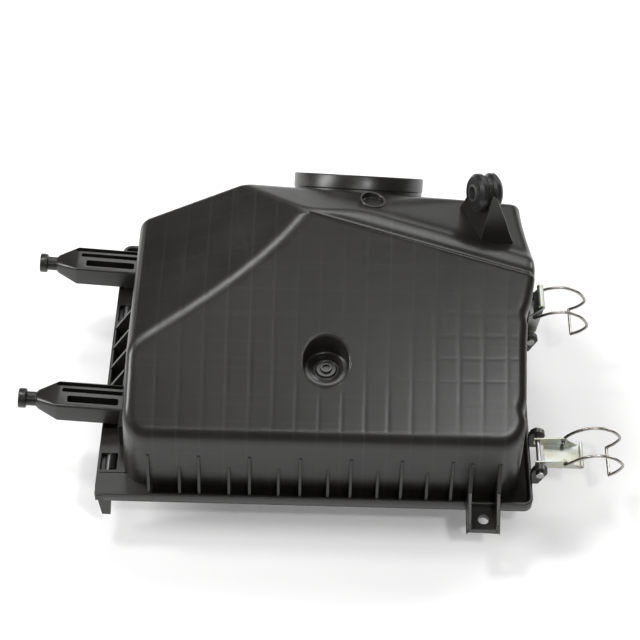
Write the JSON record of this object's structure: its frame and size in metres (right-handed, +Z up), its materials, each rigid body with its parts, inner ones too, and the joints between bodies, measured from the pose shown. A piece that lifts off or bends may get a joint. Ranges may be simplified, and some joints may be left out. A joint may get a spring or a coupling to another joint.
{
  "type": "air filter housing",
  "caption": "Moulded air filter housing: sloped deep case with angled outlet collar, pegs and rubber bushing, hinged to a shallow cover over a pleated panel filter, with wire latches.",
  "frame": {"origin": "on the cover's flat underside, below the middle of the flange", "axes": "+Z up, +X towards the latches, +Y towards the outlet collar, so the hinge and the pegs are at -X"},
  "size_m": [0.3929, 0.2614, 0.183],
  "materials": {
    "case_plastic": "satin moulded",
    "cover_plastic": "satin moulded",
    "rubber": "smooth",
    "seal_rubber": "matt",
    "paper": "matt pleated paper",
    "hot_melt": "waxy",
    "bright_steel": "bright wire",
    "zinc_steel": "zinc plated",
    "pin_steel": "plain"
  },
  "bodies": {
    "cover": {"lower_cover": "cover_plastic", "inlet_seal": "seal_rubber", "drain_valve": "seal_rubber", "filter_frame": "seal_rubber", "filter_media": "paper", "pleat_spacers": "hot_melt"},
    "case": {"upper_case": "case_plastic", "bolt_tab": "case_plastic", "bushing_bracket": "case_plastic", "mount_bushing": "rubber", "mount_sleeve": "pin_steel", "port_plug": "case_plastic", "hinge_pin_front": "pin_steel", "hinge_pin_rear": "pin_steel", "latch_pin_front": "pin_steel", "latch_pin_rear": "pin_steel"},
    "front_lever": {"latch_lever_front": "zinc_steel"},
    "rear_lever": {"latch_lever_rear": "zinc_steel"},
    "front_loop": {"latch_bail_front": "bright_steel"},
    "rear_loop": {"latch_bail_rear": "bright_steel"}
  },
  "joints": [
    {"name": "case_hinge", "type": "hinge", "parent": "cover", "child": "case", "pos_m": [-0.134, 0, 0.0385], "axis": [0, -1, 0], "range_deg": [0, 45]},
    {"name": "front_lever_pivot", "type": "hinge", "parent": "case", "child": "front_lever", "pos_m": [0.1435, -0.07, 0.048], "axis": [0, 1, 0], "range_deg": [-85, 10]},
    {"name": "front_loop_pivot", "type": "hinge", "parent": "front_lever", "child": "front_loop", "pos_m": [0.16, -0.07, 0.049], "axis": [0, 1, 0], "range_deg": [-3, 95]},
    {"name": "rear_lever_pivot", "type": "hinge", "parent": "case", "child": "rear_lever", "pos_m": [0.1435, 0.04, 0.048], "axis": [0, 1, 0], "range_deg": [-2, 93]},
    {"name": "rear_loop_pivot", "type": "hinge", "parent": "rear_lever", "child": "rear_loop", "pos_m": [0.14452, 0.04, 0.0645], "axis": [0, 1, 0], "range_deg": [-25, 5]}
  ]
}
